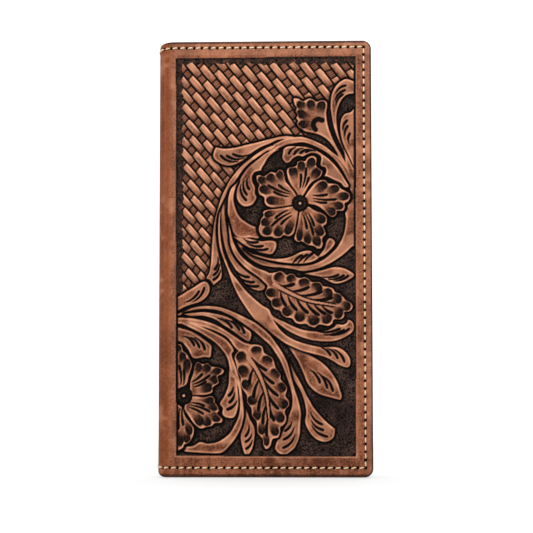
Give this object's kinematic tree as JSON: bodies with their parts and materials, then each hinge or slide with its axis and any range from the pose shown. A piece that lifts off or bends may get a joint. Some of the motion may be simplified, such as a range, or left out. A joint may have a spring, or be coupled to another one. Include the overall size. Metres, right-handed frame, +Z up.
{
  "type": "long bifold wallet",
  "caption": "Long leather bifold wallet with a tooled front, a lined bill compartment, stepped card pockets, a card window and a zipped coin pocket, folding on a two-crease spine.",
  "frame": {"origin": "under the middle of the closed wallet, on the surface that its short bottom edge stands on", "axes": "+Z up along the wallet's height, spine at -X and free edge at +X, tooled front towards -Y, plain back towards +Y"},
  "size_m": [0.093, 0.0208, 0.19],
  "materials": {
    "tooled_leather": "carved and stamped leather, dark antique stain in the cuts, satin",
    "plain_leather": "smooth vegetable-tanned leather, mottled brown, satin",
    "pocket_leather": "thin smooth leather, satin",
    "edge_paint": "dark painted and burnished leather edge",
    "thread": "waxed cream thread",
    "lining": "dark brown woven cloth",
    "zip_cloth": "dark brown twill tape",
    "zip_brass": "lightly aged brass",
    "window_film": "clear flexible film"
  },
  "bodies": {
    "back_half": {"back_cover": "plain_leather", "back_lining": "lining", "bill_gusset_bottom": "pocket_leather", "bill_gusset_top": "pocket_leather", "bill_gusset_side": "pocket_leather", "card_panel": "pocket_leather", "card_pocket_rear": "pocket_leather", "card_pocket_middle": "pocket_leather", "card_pocket_front": "pocket_leather"},
    "spine": {"spine_panel": "plain_leather", "spine_lining": "lining"},
    "front_half": {"front_cover": "tooled_leather", "front_lining": "lining", "coin_gusset_bottom": "pocket_leather", "coin_gusset_top": "pocket_leather", "coin_gusset_side": "pocket_leather", "coin_panel_narrow": "pocket_leather", "coin_panel_wide": "pocket_leather", "zip_tab_bottom": "pocket_leather", "zip_tab_top": "pocket_leather", "zip_tape_narrow": "zip_cloth", "zip_tape_wide": "zip_cloth", "zip_teeth_narrow": "zip_brass", "zip_teeth_wide": "zip_brass", "zip_stop_bottom": "zip_brass", "zip_stop_top": "zip_brass", "window_frame": "pocket_leather", "window_film": "window_film"},
    "slider": {"zip_slider": "zip_brass", "zip_slider_base": "zip_brass"},
    "pull": {"zip_pull": "zip_brass"}
  },
  "joints": [
    {"name": "spine_fold", "type": "hinge", "parent": "back_half", "child": "spine", "pos_m": [-0.04489, 0.00884, 0.095], "axis": [0, 0, -1], "range_deg": [0, 90]},
    {"name": "cover_fold", "type": "hinge", "parent": "spine", "child": "front_half", "pos_m": [-0.04489, -0.00884, 0.095], "axis": [0, 0, -1], "range_deg": [0, 90]},
    {"name": "zip_slide", "type": "slide", "parent": "front_half", "child": "slider", "axis": [0, 0, 1], "range_m": [0, 0.1345]},
    {"name": "pull_swing", "type": "hinge", "parent": "slider", "child": "pull", "pos_m": [-0.028, -0.0038, 0.03265], "axis": [0, 1, 0], "range_deg": [-25, 25]}
  ],
  "couplings": [
    {"joint": "cover_fold", "follows": "spine_fold", "ratio": 1}
  ]
}
